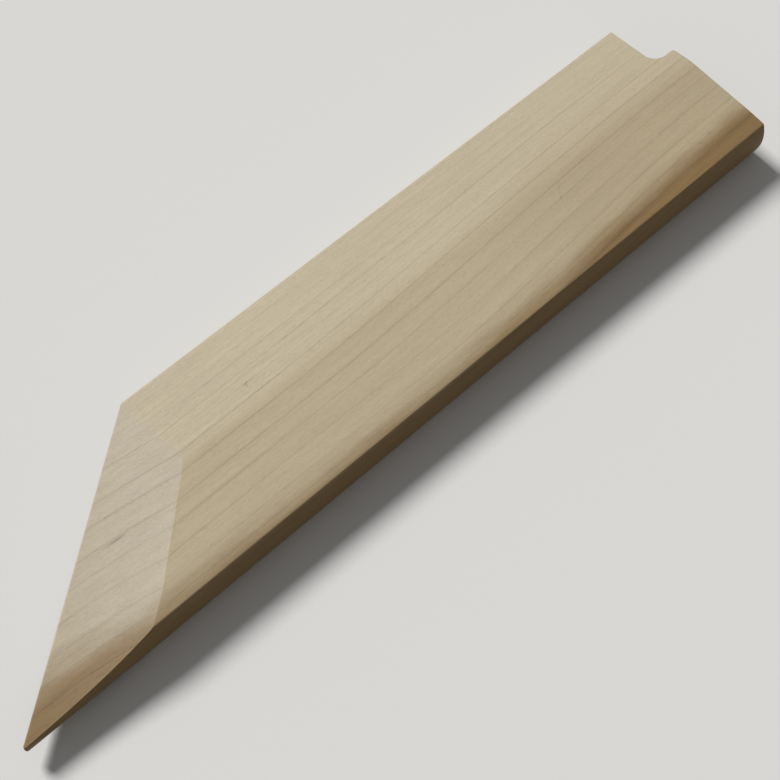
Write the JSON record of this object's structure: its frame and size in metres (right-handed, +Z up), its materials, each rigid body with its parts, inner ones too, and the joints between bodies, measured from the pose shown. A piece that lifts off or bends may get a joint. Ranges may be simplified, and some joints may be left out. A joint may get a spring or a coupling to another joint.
{
  "type": "knife blade guard",
  "caption": "Plain wooden sheath for an angled-tip kitchen knife, carved from two glued halves with faceted faces, a stepped mouth and a blade-shaped pocket.",
  "frame": {"origin": "under the middle of the sheath's bounding box, on the surface that it lies on", "axes": "+X towards the mouth, +Y towards the spine side, +Z up from the surface; the sheath lies on its lower main facet, so its glue plane leans 1.9 degrees down towards the edge side"},
  "size_m": [0.2512, 0.0532, 0.0152],
  "materials": {
    "pale_wood": "sanded, unfinished"
  },
  "bodies": {
    "root": {"front_half": "pale_wood", "back_half": "pale_wood"}
  },
  "joints": []
}
